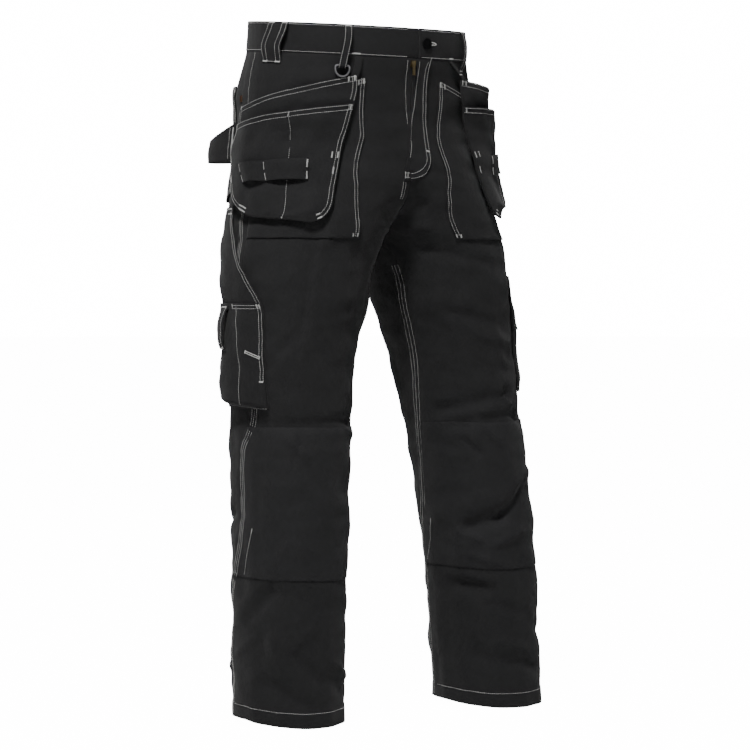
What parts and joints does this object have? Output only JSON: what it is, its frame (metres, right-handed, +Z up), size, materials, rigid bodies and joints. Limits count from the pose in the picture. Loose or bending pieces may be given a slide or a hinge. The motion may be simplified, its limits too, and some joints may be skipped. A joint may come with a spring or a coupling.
{
  "type": "work trousers",
  "caption": "Dark work trousers in their worn, hollow shape, with hanging tool pockets, thigh pockets, a hammer loop and doubled knees.",
  "frame": {"origin": "middle of the waist, in the middle plane of the waistband, 1005 mm above the side of the hem", "axes": "+Z up along the body, the garment's front faces -Y, the wearer's left side is at +X"},
  "size_m": [0.5326, 0.3166, 1.0484],
  "materials": {
    "trouser_twill": "matt cotton and polyester twill, nearly black",
    "knee_canvas": "matt hard-wearing plain weave, nearly black",
    "loop_twill": "matt twill folded into strips, nearly black",
    "dark_wire": "dark grey lacquered steel wire",
    "zip_brass": "old brass",
    "button_metal": "dark lacquered metal"
  },
  "bodies": {
    "root": {"back_left": "trouser_twill", "back_pocket_left": "trouser_twill", "back_pocket_right": "trouser_twill", "back_right": "trouser_twill", "belt_loop_back": "loop_twill", "belt_loop_front_left": "loop_twill", "belt_loop_front_right": "loop_twill", "belt_loop_side_left": "loop_twill", "belt_loop_side_right": "loop_twill", "button": "button_metal", "cargo_flap": "trouser_twill", "cargo_pocket": "trouser_twill", "fly": "trouser_twill", "front_left": "trouser_twill", "front_pocket_left": "trouser_twill", "front_pocket_right": "trouser_twill", "front_right": "trouser_twill", "hammer_loop": "loop_twill", "holster_back_left": "trouser_twill", "holster_back_right": "trouser_twill", "holster_front_left": "trouser_twill", "holster_front_right": "trouser_twill", "holster_strap_left": "loop_twill", "holster_strap_right": "loop_twill", "knee_patch_left": "knee_canvas", "knee_patch_right": "knee_canvas", "ruler_pocket": "trouser_twill", "thigh_box_pocket": "trouser_twill", "thigh_tool_loop": "loop_twill", "tool_band_left": "loop_twill", "tool_band_right": "loop_twill", "waistband": "trouser_twill", "zip_slider": "zip_brass"},
    "dring": {"dring": "dark_wire"},
    "zip_tab": {"zip_tab": "zip_brass"}
  },
  "joints": [
    {"name": "dring_swing", "type": "hinge", "parent": "root", "child": "dring", "pos_m": [-0.11211, -0.11969, -0.04839], "axis": [-0.8485, 0.5262, 0.0565], "range_deg": [0, 100]},
    {"name": "zip_tab_swing", "type": "hinge", "parent": "root", "child": "zip_tab", "pos_m": [-0.0037, -0.1486, -0.04552], "axis": [-0.9999, 0.0144, 0.0013], "range_deg": [0, 110]}
  ]
}
